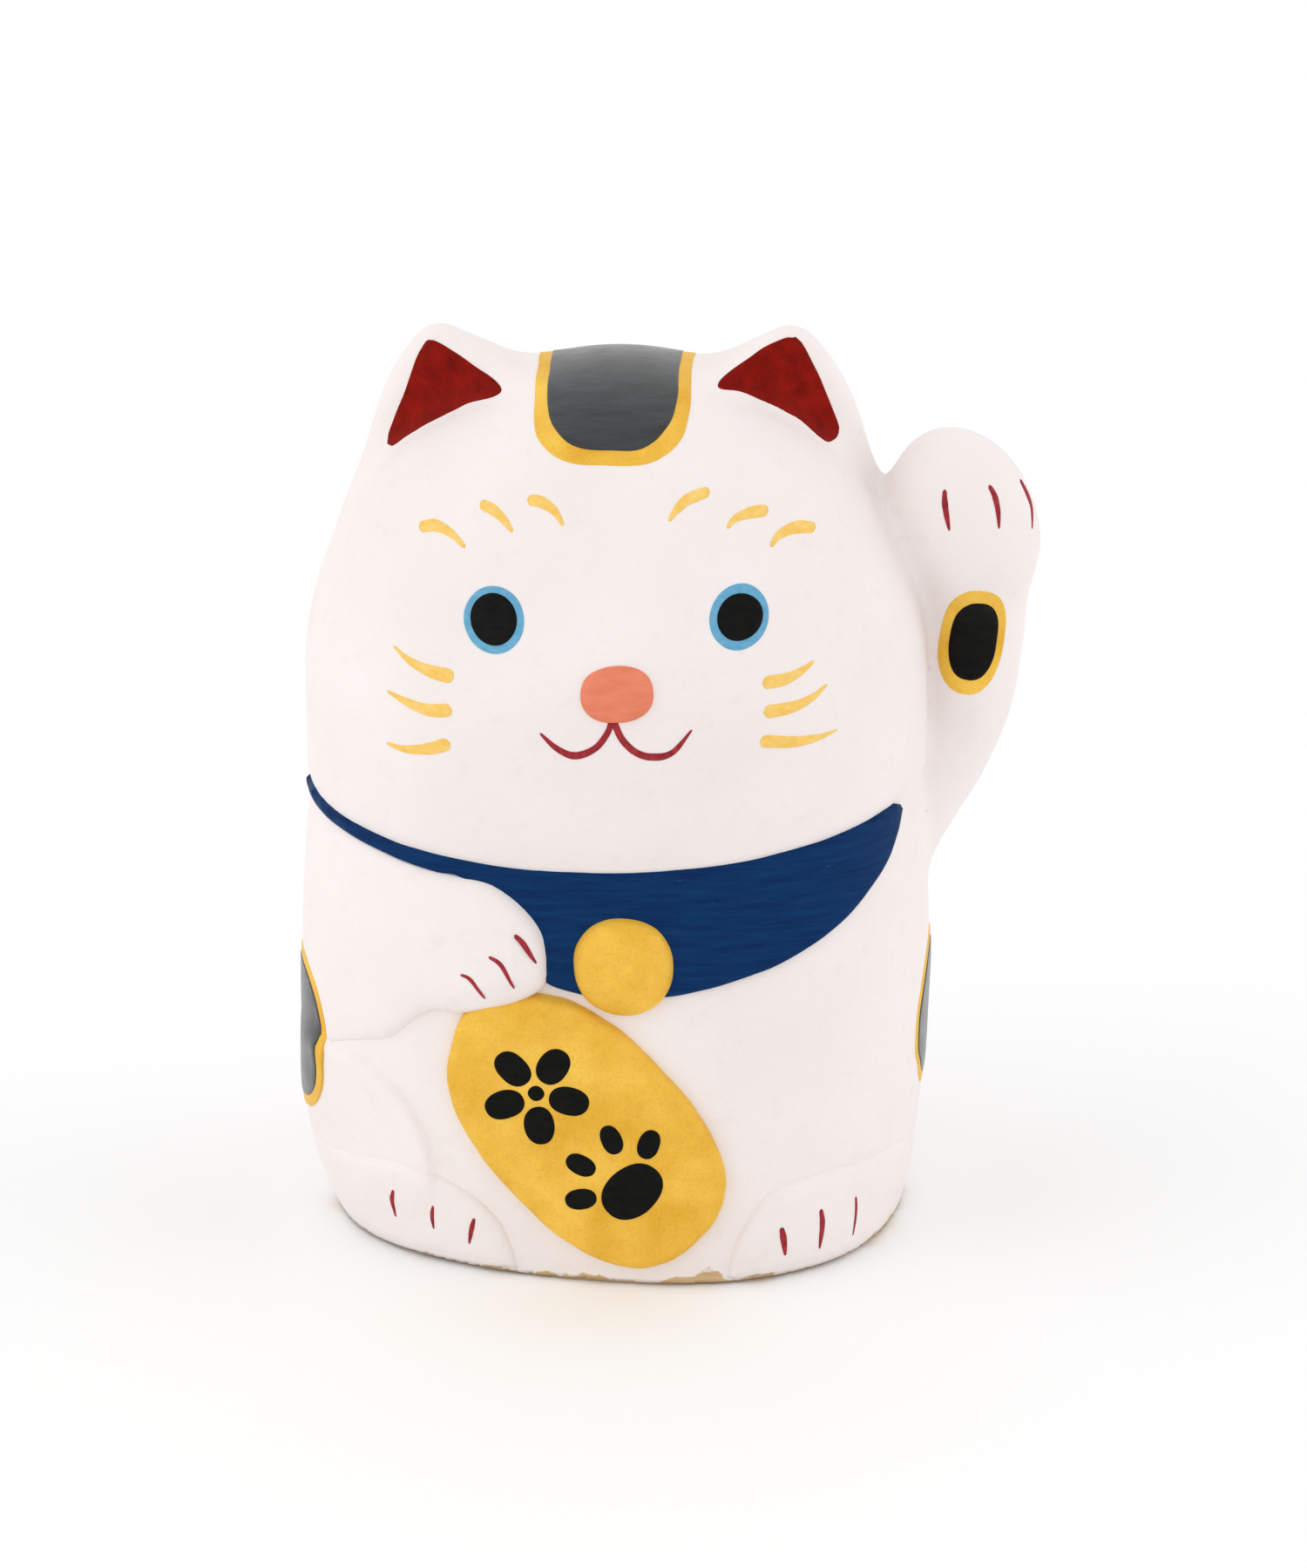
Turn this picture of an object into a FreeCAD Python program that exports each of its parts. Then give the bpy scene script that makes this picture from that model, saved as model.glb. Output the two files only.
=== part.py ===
"""Beckoning cat figurine of papier-mache, as the separate pieces that a workshop glues together.

Row frame: millimetres, +Z up, the cat faces -Y and its left side is at +X.
The origin is on the underside of the base board, where the axis of the body meets the surface it stands on.
"""

import FreeCAD, Part

import math
import os

# ---- driving dimensions of the moulded form (mm)
WALL = 2.0                 # paper wall of the moulded shell
BOARD = 1.5                # thickness of the card that closes the bottom
BODY_HALF_WIDTH = 45.6
BODY_HALF_DEPTH = 37.2
BODY_POWER = 2.7           # superellipse power of the body's plan, 2 being an ellipse
BASE_TURN = -5.0           # degrees that the foot of the body is turned, fading out at the chin
CHIN_Z = 61.0              # where the head begins
HEAD_HALF_WIDTH = 44.0
HEAD_HALF_DEPTH = 39.6
HEAD_POWER = 2.4
DOME_Z = 80.0              # height of the head's widest level
CROWN_Z = 125.0            # top of the head between the ears
CAP_SHARE = 0.995          # share of the dome's height at which its small flat top lies
RING_POINTS = 32

# ---- driving dimensions of what is glued on (mm)
STRIP_WIDTH = 12.0         # paper strip behind the joint of the two half shells
STRIP_THICK = 0.6
WEIGHT_HALF = (26.0, 20.0) # clay weight on the base board
WEIGHT_HIGH = 9.0
BIB_THICK = 0.8
BIB_LOW_Z = 42.5
PAW_THICK = 3.4
FOOT_THICK = 1.6
BELL_RADIUS = 7.0
BELL_CENTRE = (2.4, 47.5)
BELL_THICK = 2.8
KOBAN_HALF = (14.2, 22.4)  # half width and half length of the coin plaque
KOBAN_CENTRE = (-2.8, 23.0)
KOBAN_TILT = 42.0          # degrees from upright, its foot towards the cat's left
KOBAN_THICK = 2.4
KOBAN_POWER = 2.5
MUZZLE_CENTRE = (1.3, -33.0, 84.5)
MUZZLE_RADII = (14.0, 9.5, 10.5)
NOSE_RADII = (5.1, 1.7, 4.0)
NOSE_Z = 87.4
TAIL_THICK = 4.0

# body levels: height, share of the half width, share of the half depth
BODY_LEVELS = [
    (BOARD, 0.943, 0.955),
    (5.0, 0.974, 0.978),
    (14.0, 1.0, 1.0),
    (34.0, 1.0, 1.0),
    (52.0, 0.982, 0.989),
    (CHIN_Z + 1.0, 0.969, 0.978),
]
# lower head levels: height, share of the half width, share of the half depth
JAW_LEVELS = [
    (CHIN_Z, 1.0, 0.950),
    (CHIN_Z + 3.0, 1.0, 0.975),
    (CHIN_Z + 9.0, 1.0, 0.992),
    (DOME_Z, 1.0, 1.0),
]
DOME_SHARES = [0.2, 0.4, 0.58, 0.73, 0.85, 0.93, 0.975, CAP_SHARE]


def vec(x, y, z):
    return FreeCAD.Vector(x, y, z)


def closed_curve(points):
    """A smooth closed wire through the points."""
    curve = Part.BSplineCurve()
    curve.interpolate(Points=points, PeriodicFlag=True)
    return Part.Wire([curve.toShape()])


def superellipse(half_x, half_y, power, count=RING_POINTS):
    """Plane points of a superellipse about the origin."""
    points = []
    for i in range(count):
        t = 2 * math.pi * i / count
        c, s = math.cos(t), math.sin(t)
        x = half_x * math.copysign(abs(c) ** (2 / power), c)
        y = half_y * math.copysign(abs(s) ** (2 / power), s)
        points.append((x, y))
    return points


def turned(x, y, degrees):
    a = math.radians(degrees)
    return x * math.cos(a) - y * math.sin(a), x * math.sin(a) + y * math.cos(a)


def ring(z, half_x, half_y, power, centre=(0.0, 0.0), turn=0.0):
    """A level section: a superellipse wire at height z."""
    points = []
    for x, y in superellipse(half_x, half_y, power):
        x, y = turned(x, y, turn)
        points.append(vec(centre[0] + x, centre[1] + y, z))
    return closed_curve(points)


def loft(wires):
    return Part.makeLoft(wires, True, False)


def body_solid(grow=0.0):
    """The body below the chin. grow moves its wall outwards."""
    wires = []
    for z, wide, deep in BODY_LEVELS:
        turn = BASE_TURN * (1 - z / CHIN_Z) if z < CHIN_Z else 0.0
        half_x = BODY_HALF_WIDTH * wide + grow
        half_y = BODY_HALF_DEPTH * deep + grow
        # an inner form runs on up into the hollow of the head
        level = z - 2 * grow if z > CHIN_Z else z
        wires.append(ring(level, half_x, half_y, BODY_POWER, turn=turn))
    return loft(wires)


def head_solid(grow=0.0):
    """The head above the chin: an upright jaw under a dome. grow moves its wall outwards."""
    rise = CROWN_Z - DOME_Z + grow
    wires = []
    for z, wide, deep in JAW_LEVELS:
        # the floor of an inner form stays above the outer one's by the same wall
        level = z - grow if z == CHIN_Z else z
        wires.append(ring(level, HEAD_HALF_WIDTH * wide + grow, HEAD_HALF_DEPTH * deep + grow, HEAD_POWER))
    for share in DOME_SHARES:
        size = math.sqrt(1 - share ** 2)
        power = HEAD_POWER + (2 - HEAD_POWER) * share
        half_x, half_y = (HEAD_HALF_WIDTH + grow) * size, (HEAD_HALF_DEPTH + grow) * size
        wires.append(ring(DOME_Z + rise * share, half_x, half_y, power))
    return loft(wires)


def ellipsoid(centre, radii):
    """A ball stretched to three radii."""
    ball = Part.makeSphere(1.0)
    stretch = FreeCAD.Matrix()
    stretch.scale(vec(*radii))
    solid = ball.transformGeometry(stretch)
    solid.translate(vec(*centre))
    return solid


def front_prism(points, front=True):
    """A prism along Y of a smooth outline given in X and Z, over the front or the back half."""
    wire = closed_curve([vec(x, 0, z) for x, z in points])
    reach = 80.0
    return Part.Face(wire).extrude(vec(0, -reach if front else reach, 0))


def half_space(front):
    size = 200.0
    corner = vec(-size / 2, -size if front else 0, -size / 2)
    return Part.makeBox(size, size, 2 * size, corner)


def relief(points, thick, under, front=True):
    """A low relief on the body: it stands proud by thick along Y, so it fades out at the sides."""
    raised = body_solid()
    raised.translate(vec(0, -thick if front else thick, 0))
    block = raised.common(front_prism(points, front))
    for solid in under:
        block = block.cut(solid)
    return block


def bib_outline():
    """A crescent under the chin: points in X and Z, symmetric about X = 0."""
    half = [(41.0, 60.9), (38.0, 55.5), (31.5, 50.3), (24.0, 46.3), (16.0, 43.6), (8.0, BIB_LOW_Z)]
    low = [(0.0, BIB_LOW_Z - 0.2)]
    high = [(-20.0, 60.95), (0.0, 60.95), (20.0, 60.95)]
    left = [(-x, z) for x, z in half]
    return half + low + left[::-1] + high


def arm_outline():
    """The lowered right arm, from the seam to its paw."""
    upper = [(-50.0, 60.8), (-36.0, 60.9), (-22.0, 60.5), (-15.5, 58.0), (-10.8, 53.0)]
    paw = [(-8.0, 47.5), (-8.6, 43.2), (-13.0, 40.6), (-20.0, 39.0)]
    lower = [(-26.0, 37.8), (-31.0, 34.3), (-38.0, 31.0), (-50.0, 30.0)]
    return upper + paw + lower


def koban_outline():
    points = []
    for u, v in superellipse(KOBAN_HALF[0], KOBAN_HALF[1], KOBAN_POWER):
        x, z = turned(u, v, KOBAN_TILT)
        points.append((KOBAN_CENTRE[0] + x, KOBAN_CENTRE[1] + z))
    return points


def foot_outline(side):
    """A foot's outline on one side: -1 for the cat's right foot, 1 for its left."""
    toe, top = (13.0, 15.4) if side < 0 else (17.2, 15.2)
    points = [
        (toe, 0.0), (toe + 1.5, 6.0), (toe + 5.0, 11.0), (toe + 10.5, top - 0.8),
        (toe + 18.0, top), (48.0, top - 1.5), (50.0, 0.0), (34.0, -4.0),
    ]
    return [(side * x, z) for x, z in points]


def tail_outline():
    """A short tail that curls up from the bottom of the back."""
    return [
        (-4.0, 3.0), (6.0, 2.2), (16.0, 5.0), (22.5, 11.5), (24.0, 19.0), (20.5, 22.5),
        (16.5, 19.5), (14.5, 14.5), (9.0, 11.0), (0.0, 10.2), (-6.0, 7.0),
    ]


def ear_solid(side, form):
    """An ear: level sections given by height, centre X, half X, centre Y and half Y."""
    levels = [
        (100.0, 24.0, 14.0, 4.0, 11.0),
        (108.0, 23.6, 13.6, 3.0, 10.0),
        (115.0, 22.6, 12.6, 1.4, 8.2),
        (120.0, 22.0, 11.4, 0.0, 6.4),
        (124.0, 21.8, 9.5, -1.5, 4.6),
        (127.0, 22.4, 6.6, -2.7, 3.0),
        (129.0, 23.3, 3.6, -3.5, 1.8),
        (129.8, 23.8, 1.5, -3.9, 0.9),
    ]
    wires = [ring(z, hx, hy, 2.0, (side * cx, cy)) for z, cx, hx, cy, hy in levels]
    return loft(wires).cut(form)


def raised_arm_solid(form):
    """The raised left arm: circles along a bent line, and the paw at its end."""
    line = [
        (37.0, 5.5, 50.0, 7.0), (41.2, 5.6, 58.0, 7.3), (45.6, 5.6, 66.0, 7.5),
        (48.9, 5.2, 74.0, 7.5), (49.9, 4.2, 82.0, 7.6), (50.2, 3.0, 90.0, 8.0),
        (49.9, 1.0, 97.0, 9.0),
    ]
    wires = [ring(z, r, r, 2.0, (x, y)) for x, y, z, r in line]
    paw = ellipsoid((49.1, -1.4, 103.1), (10.7, 10.7, 12.1))
    return loft(wires).fuse(paw).cut(form)


def largest_solid(shape):
    """Drops the slivers that a cut may leave."""
    return max(shape.Solids, key=lambda s: s.Volume)


def build():
    """All pieces as {node name: solid}."""
    body, head = body_solid(), head_solid()
    muzzle = ellipsoid(MUZZLE_CENTRE, MUZZLE_RADII)
    form = body.fuse(head)
    hollow = body_solid(-WALL).fuse(head_solid(-WALL))
    shell = form.cut(hollow)
    face = form.fuse(muzzle)

    pieces = {}
    pieces["front_shell"] = shell.fuse(muzzle.cut(form)).common(half_space(True))
    pieces["back_shell"] = shell.common(half_space(False))

    lining = WALL + STRIP_THICK
    void = body_solid(-lining).fuse(head_solid(-lining))
    slab = Part.makeBox(200, STRIP_WIDTH, 200, vec(-100, -STRIP_WIDTH / 2, BOARD))
    pieces["seam_strip"] = hollow.cut(void).common(slab)

    board_ring = ring(0.0, BODY_HALF_WIDTH * 0.938, BODY_HALF_DEPTH * 0.95, BODY_POWER, turn=BASE_TURN)
    pieces["base_board"] = Part.Face(board_ring).extrude(vec(0, 0, BOARD))
    puck_ring = ring(BOARD, WEIGHT_HALF[0], WEIGHT_HALF[1], 2.0)
    puck_top = ring(BOARD + WEIGHT_HIGH, WEIGHT_HALF[0] - 3.0, WEIGHT_HALF[1] - 3.0, 2.0)
    pieces["clay_weight"] = loft([puck_ring, puck_top])

    bell_disc = Part.makeCylinder(
        BELL_RADIUS, 80.0, vec(BELL_CENTRE[0], 0, BELL_CENTRE[1]), vec(0, -1, 0)
    )
    raised = body_solid()
    raised.translate(vec(0, -BELL_THICK, 0))
    pieces["bell"] = raised.common(bell_disc).cut(form)
    arm = relief(arm_outline(), PAW_THICK, [form])
    pieces["lowered_arm"] = arm
    pieces["bib"] = relief(bib_outline(), BIB_THICK, [form, arm, bell_disc])
    pieces["koban"] = relief(koban_outline(), KOBAN_THICK, [form, arm, bell_disc, pieces["bib"]])
    for name, side in (("right_foot", -1), ("left_foot", 1)):
        pieces[name] = relief(foot_outline(side), FOOT_THICK, [form, pieces["koban"]])
    pieces["tail"] = relief(tail_outline(), TAIL_THICK, [form], front=False)

    tip = MUZZLE_CENTRE[1] - MUZZLE_RADII[1]
    pieces["nose"] = ellipsoid((MUZZLE_CENTRE[0], tip + 0.4, NOSE_Z), NOSE_RADII).cut(face)
    pieces["right_ear"] = ear_solid(-1, form)
    pieces["left_ear"] = ear_solid(1, form)
    pieces["raised_arm"] = raised_arm_solid(form).cut(pieces["left_ear"])
    return {name: largest_solid(shape) for name, shape in pieces.items()}


os.makedirs("parts", exist_ok=True)
for node, solid in build().items():
    solid.exportStep(f"parts/{node}.step")
    box = solid.BoundBox
    print(f"{node}: {solid.Volume / 1000:.2f} cm3, {box.XLength:.1f} x {box.YLength:.1f} x {box.ZLength:.1f} mm")
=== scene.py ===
import math
import random

import bpy
import numpy as np
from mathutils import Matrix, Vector
from mathutils.geometry import delaunay_2d_cdt


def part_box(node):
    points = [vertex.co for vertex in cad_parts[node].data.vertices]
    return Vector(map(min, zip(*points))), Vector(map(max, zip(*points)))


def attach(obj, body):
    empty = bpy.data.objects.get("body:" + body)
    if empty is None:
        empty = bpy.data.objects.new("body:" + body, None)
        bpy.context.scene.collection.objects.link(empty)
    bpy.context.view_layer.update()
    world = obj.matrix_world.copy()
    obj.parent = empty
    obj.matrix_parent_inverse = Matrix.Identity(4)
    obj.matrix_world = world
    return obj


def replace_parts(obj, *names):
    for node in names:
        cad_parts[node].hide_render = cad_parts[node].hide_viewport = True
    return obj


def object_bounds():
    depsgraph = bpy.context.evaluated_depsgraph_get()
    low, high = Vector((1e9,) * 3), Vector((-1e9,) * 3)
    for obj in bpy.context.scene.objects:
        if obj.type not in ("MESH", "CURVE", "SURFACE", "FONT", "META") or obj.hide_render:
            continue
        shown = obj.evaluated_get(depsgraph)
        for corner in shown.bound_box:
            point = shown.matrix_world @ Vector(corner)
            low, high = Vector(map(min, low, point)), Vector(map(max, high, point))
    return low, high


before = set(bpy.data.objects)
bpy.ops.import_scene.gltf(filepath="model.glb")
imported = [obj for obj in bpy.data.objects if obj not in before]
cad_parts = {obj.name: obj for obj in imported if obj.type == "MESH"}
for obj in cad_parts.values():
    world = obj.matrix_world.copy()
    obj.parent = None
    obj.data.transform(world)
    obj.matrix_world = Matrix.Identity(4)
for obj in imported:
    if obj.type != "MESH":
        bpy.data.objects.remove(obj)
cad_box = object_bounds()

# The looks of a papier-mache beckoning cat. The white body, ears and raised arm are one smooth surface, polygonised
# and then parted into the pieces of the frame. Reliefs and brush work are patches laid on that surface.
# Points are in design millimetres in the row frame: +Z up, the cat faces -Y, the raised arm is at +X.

# ---- sizes taken from the frame
SHELL_LOW, SHELL_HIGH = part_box("back_shell")
MM = (SHELL_HIGH.x - SHELL_LOW.x) / 91.4     # metres in a design millimetre


def measured(node):
    """Centre and size of a CAD node, in design millimetres."""
    low, high = (np.array(corner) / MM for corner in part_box(node))
    return (low + high) / 2, high - low


BOARD_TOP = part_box("base_board")[1].z / MM
EAR_MID, EAR_SIZE = measured("left_ear")
BELL_MID, BELL_SIZE = measured("bell")
NOSE_MID = measured("nose")[0]
SEAM_WIDTH = measured("seam_strip")[1][1]
HEAD_HALF_DEPTH = SHELL_HIGH.y / MM

# ---- the body, in design millimetres
HEAD_HALF_WIDTH = 44.0
DOME_Z = 80.0                                # height of the head's widest level
DOME_RISE = 45.0
CHIN_Z = 59.7                                # lowest point of the chin line
CHIN_X = -2.0                                # where that point is
CHIN_LIFT = 0.0032                           # rise of the chin line with the square of the way from it
BODY_HALF = (45.0, 37.2)
BODY_POWER = 2.7                             # superellipse power of its plan
FOOT_HALF = (40.8, 35.0)                     # the same at the ground
FOOT_POWER = 2.35
FOOT_SHIFT = (0.9, -1.0)
LEAN = 0.4                                   # how far the lower body lies towards the cat's right
BASE_TURN = math.radians(-14.0)              # how far the foot is turned from the head
WALL = 1.6
SKIRT_Z = 0.35                               # the paper skin reaches down round the board to here
SKIRT = 0.3                                  # its thickness there
BOARD_INSET = 0.5                            # from the skin's outside to the board's edge
SEAM_GAP, SEAM_THICK = 0.1, 0.6              # the strip behind the joint: its way in from the wall, its thickness
PAW_CENTRE = (48.65, -1.4, 102.5)            # the raised paw
PAW_RADII = (10.2, 10.6, 12.2)
PAW_LEAN, PAW_LEAN_Z = 0.15, 102.4           # it leans towards the head above this height

# ---- reliefs and paint: heights, and widths of rounded edges
ARM_RISE, ARM_SOFT = 3.5, 4.2                # the lowered arm
KOBAN_CENTRE = (-2.8, 23.0)
KOBAN_HALF = (14.1, 22.1)
KOBAN_TILT = 42.0
KOBAN_RISE = 2.0
TAIL_RISE = 3.6
PAINT, PAINT_EDGE = 0.13, 0.16

# ---- how the surface is made and reached
NET_STEP = 0.85
ROUND_RADIUS = 41.0                          # turns an angle round the body into a length
RAYS_FRONT, RAYS_ABOVE, RAYS_AROUND = -55.0, 140.0, 66.0    # where rays towards the body start


# ---------------------------------------------------------------- smooth lines

def turned(points, angle):
    """Plane points turned about the origin by an angle in radians."""
    c, s = math.cos(angle), math.sin(angle)
    return points @ np.array([[c, s], [-s, c]])


def run(points, step=0.6):
    """A smooth open line through the points."""
    p = np.array(points, float)
    p = np.concatenate([[2 * p[0] - p[1]], p, [2 * p[-1] - p[-2]]])
    out = []
    for a, b, c, d in zip(p, p[1:], p[2:], p[3:]):
        count = max(2, int(np.linalg.norm(c - b) / step))
        t = (np.arange(count) / count)[:, None]
        out.append(0.5 * (2 * b + (c - a) * t + (2 * a - 5 * b + 4 * c - d) * t ** 2
                          + (3 * b - a - 3 * c + d) * t ** 3))
    return np.concatenate(out + [p[-2:-1]])


def loop(points, step=0.6):
    """A smooth closed line through the points."""
    p = list(points)
    line = run([p[-1]] + p + [p[0], p[1]], step)
    start = int(np.argmin(np.linalg.norm(line - np.array(p[0]), axis=1)))
    rest = line[start + 3:]
    end = start + 3 + int(np.argmin(np.linalg.norm(rest - np.array(p[0]), axis=1)))
    return line[start:end]


# the raised arm's middle line and radius: X, Y, Z, R
ARM_CURVE = run([
    (37.4, 5.5, 50.0, 6.9), (41.2, 5.6, 58.0, 7.3), (45.6, 5.6, 66.0, 7.5), (48.7, 5.2, 74.0, 7.6),
    (49.9, 4.2, 82.0, 7.7), (50.2, 3.0, 90.0, 8.0), (50.3, 1.9, 97.0, 8.5),
], 2.0)


# ---------------------------------------------------------------- the smooth body as a field, negative inside

def smooth_min(a, b, k):
    h = np.clip(0.5 + 0.5 * (b - a) / k, 0, 1)
    return b * (1 - h) + a * h - k * h * (1 - h)


def smooth_max(a, b, k):
    return -smooth_min(-a, -b, k)


def over(value, start, length):
    """How far value is past start, as a share of length, never below 0."""
    return np.maximum((value - start) / length, 0)


def superellipse_radius(x, y, half_x, half_y, power):
    return (np.abs(x / half_x) ** power + np.abs(y / half_y) ** power + 1e-12) ** (1 / power)


def chin_line(x):
    return CHIN_Z + CHIN_LIFT * (x - CHIN_X) ** 2


def unevenness(p):
    """The slight waves of a hand-pasted paper wall."""
    x, y, z = p.T
    wave = np.sin(x / 8.3 + 1.1) * np.sin(z / 10.7 + 0.4) + np.sin(y / 7.1 + z / 15.0)
    wave += 0.6 * np.sin(x / 4.9 - y / 6.3 + 2.0) * np.sin(z / 5.7 + 1.9)
    return 0.09 * wave


def body_field(p):
    x, y, z = p.T
    foot, neck = np.minimum(over(24 - z, 0, 24), 1) ** 2, np.minimum(over(z, 34, 28), 1.4) ** 2
    low = np.minimum(over(36 - z, 0, 20), 1)
    x, y = x - FOOT_SHIFT[0] * foot + LEAN * low, y - FOOT_SHIFT[1] * foot
    turn = -BASE_TURN * np.clip(1 - z / CHIN_Z, 0, 1) ** 2
    c, s = np.cos(turn), np.sin(turn)
    x, y = x * c - y * s, x * s + y * c
    half_x = BODY_HALF[0] + (FOOT_HALF[0] - BODY_HALF[0]) * foot - 0.3 * low - 1.4 * neck
    half_y = BODY_HALF[1] + (FOOT_HALF[1] - BODY_HALF[1]) * foot - 0.8 * neck
    power = BODY_POWER + (FOOT_POWER - BODY_POWER) * foot
    wall = (superellipse_radius(x, y, half_x, half_y, power) - 1) * half_y
    return smooth_max(wall, z - 72.0, 2.0)


def head_field(p):
    x, y, z = p.T
    rise = over(z, DOME_Z, DOME_RISE)
    half_y = HEAD_HALF_DEPTH - 2.2 * np.minimum(over(DOME_Z - z, 0, 19), 1.4) ** 3
    power = 2.4 - 0.4 * np.minimum(rise, 1)
    flat = superellipse_radius(x, y, HEAD_HALF_WIDTH, half_y, power)
    dome = (np.sqrt(flat ** 2 + rise ** 2) - 1) * HEAD_HALF_DEPTH
    return smooth_max(dome, chin_line(x) - z, 1.8)


def ball_field(p, centre, radii):
    q = (p - np.array(centre)) / np.array(radii)
    return (np.linalg.norm(q, axis=1) - 1) * min(radii)


def thigh_swell(p, centre_x, centre_z, half_x, half_z, height):
    """A swelling that ends in a soft step, as where a thigh meets the belly. It runs out into the foot."""
    x, y, z = p.T
    height = height * np.clip((z - 8) / 8, 0, 1)
    r = np.sqrt(((x - centre_x) / half_x) ** 2 + ((z - centre_z) / half_z) ** 2)
    step = 1 / (1 + np.exp(np.clip((r - 1) * half_x / 0.38, -30, 30)))
    return height * step * np.clip((r - 0.25) / 0.75, 0, 1) * np.clip((4 - y) / 12, 0, 1)


def shell_field(p):
    form = smooth_min(body_field(p), head_field(p), 0.5)
    muzzle = ball_field(p, (1.3, -31.2, 84.3), (15.0, 10.6, 11.0))
    form = smooth_min(form, muzzle, 7.0)
    inboard = np.clip((BODY_HALF[0] - np.abs(p[:, 0])) / 3.0, 0, 1)
    form = form - thigh_swell(p, -39.5, 14.0, 14.9, 16.8, 1.2) * inboard
    form = form - thigh_swell(p, 45.0, 12.0, 11.0, 14.0, 0.45) * inboard
    return smooth_max(form, SKIRT_Z - p[:, 2], 0.3) + unevenness(p)


def ear_field(p, side):
    """Planes with rounded edges: front, crest towards the crown, outer flank and back."""
    tip = np.array([EAR_MID[0] + 0.6, -3.4, EAR_MID[2] + EAR_SIZE[2] / 2 + 0.7])
    q = p * np.array([side, 1, 1]) - tip
    planes = [
        ((0.36, -0.93, -0.06), 1.6),
        ((-0.53, -0.10, 0.84), 0.6),
        ((0.80, 0.05, 0.60), 1.6),
        ((0.95, 0.12, 0.28), 5.4),
        ((0.10, 0.80, 0.60), 1.5),
    ]
    value = None
    for normal, reach in planes:
        normal = np.array(normal) / np.linalg.norm(normal)
        plane = q @ normal - reach
        value = plane if value is None else smooth_max(value, plane, 3.6)
    return smooth_max(value, 100.0 - p[:, 2], 3.0)


def arm_field(p):
    """The raised arm: short tapered links along a curve, then the paw that bends forward at its end."""
    value = np.full(len(p), 20.0)
    side = p[:, 0] > 22.0
    q, forearm = p[side], value[side]
    for a, b in zip(ARM_CURVE, ARM_CURVE[1:]):
        start, way = a[:3], b[:3] - a[:3]
        t = np.clip((q - start) @ way / (way @ way), 0, 1)
        near = start + t[:, None] * way
        forearm = np.minimum(forearm, np.linalg.norm(q - near, axis=1) - (a[3] + (b[3] - a[3]) * t))
    leaning = q + PAW_LEAN * (q[:, 2:] - PAW_LEAN_Z) * np.array([1, 0, 0])
    paw = ball_field(leaning, PAW_CENTRE, PAW_RADII)
    value[side] = smooth_min(forearm, paw, 4.0)
    return value


def cat_field(p):
    value = shell_field(p)
    for side in (-1, 1):
        value = smooth_min(value, ear_field(p, side), 3.2)
    # the paw runs into the head more softly than the forearm does
    return smooth_min(value, arm_field(p), np.interp(p[:, 2], [80.0, 97.0], [1.6, 4.0]))


def gradient(field, p, reach=0.05):
    """Unit normals and the field's slope along them."""
    slope = np.empty_like(p)
    for axis in range(3):
        nudge = np.zeros(3)
        nudge[axis] = reach
        slope[:, axis] = (field(p + nudge) - field(p - nudge)) / (2 * reach)
    size = np.linalg.norm(slope, axis=1) + 1e-9
    return slope / size[:, None], size


def settle(field, p, most, rounds=4):
    """Moves points onto the surface, no further than most in one round."""
    for _ in range(rounds):
        normal, size = gradient(field, p)
        move = np.clip(field(p) / size, -most, most)
        p = p - normal * move[:, None]
    return p


def surface_net(field, low, high, step):
    """Quads over the field's surface, one point for each grid cell that the surface crosses."""
    axes = [np.arange(a, b + step, step) for a, b in zip(low, high)]
    size = [len(a) for a in axes]
    inside = np.empty(size, bool)
    for i, x in enumerate(axes[0]):
        y, z = np.meshgrid(axes[1], axes[2], indexing="ij")
        sheet = np.stack([np.full(y.size, x), y.ravel(), z.ravel()], 1)
        inside[i] = (field(sheet) < 0).reshape(y.shape)
    count = np.zeros([n - 1 for n in size], np.int8)
    for dx in (0, 1):
        for dy in (0, 1):
            for dz in (0, 1):
                count += inside[dx:size[0] - 1 + dx, dy:size[1] - 1 + dy, dz:size[2] - 1 + dz]
    crossed = (count > 0) & (count < 8)
    index = np.full(crossed.shape, -1)
    index[crossed] = np.arange(crossed.sum())
    points = np.array([a[0] for a in axes]) + (np.argwhere(crossed) + 0.5) * step
    quads = []
    for axis in range(3):
        lead = inside.take(range(size[axis] - 1), axis)
        trail = inside.take(range(1, size[axis]), axis)
        edges = np.argwhere(lead != trail)
        b, c = (axis + 1) % 3, (axis + 2) % 3
        corners = []
        for db, dc in ((-1, -1), (0, -1), (0, 0), (-1, 0)):
            cell = edges.copy()
            cell[:, b] += db
            cell[:, c] += dc
            corners.append(index[tuple(cell.T)])
        quad = np.stack(corners, 1)
        outward = lead[tuple(edges.T)]
        quad[~outward] = quad[~outward][:, ::-1]
        quads.append(quad)
    return points, np.concatenate(quads)


# ---------------------------------------------------------------- meshes

def add_mesh(name, points, faces, normals=None):
    """A smooth-shaded mesh object from points in design millimetres."""
    mesh = bpy.data.meshes.new(name)
    mesh.from_pydata((points * MM).tolist(), [], [list(map(int, f)) for f in faces])
    mesh.validate()
    mesh.update()
    mesh.polygons.foreach_set("use_smooth", [True] * len(mesh.polygons))
    if normals is not None:
        mesh.normals_split_custom_set_from_vertices(normals.tolist())
    piece = bpy.data.objects.new(name, mesh)
    bpy.context.scene.collection.objects.link(piece)
    return piece


def free_edges(faces):
    """Directed edges of the faces that have no neighbour across them."""
    loops = np.stack([faces, np.roll(faces, -1, axis=1)], 2).reshape(-1, 2)
    most = int(faces.max()) + 1
    here = loops[:, 0] * most + loops[:, 1]
    back = loops[:, 1] * most + loops[:, 0]
    return loops[~np.isin(here, back)]


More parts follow.
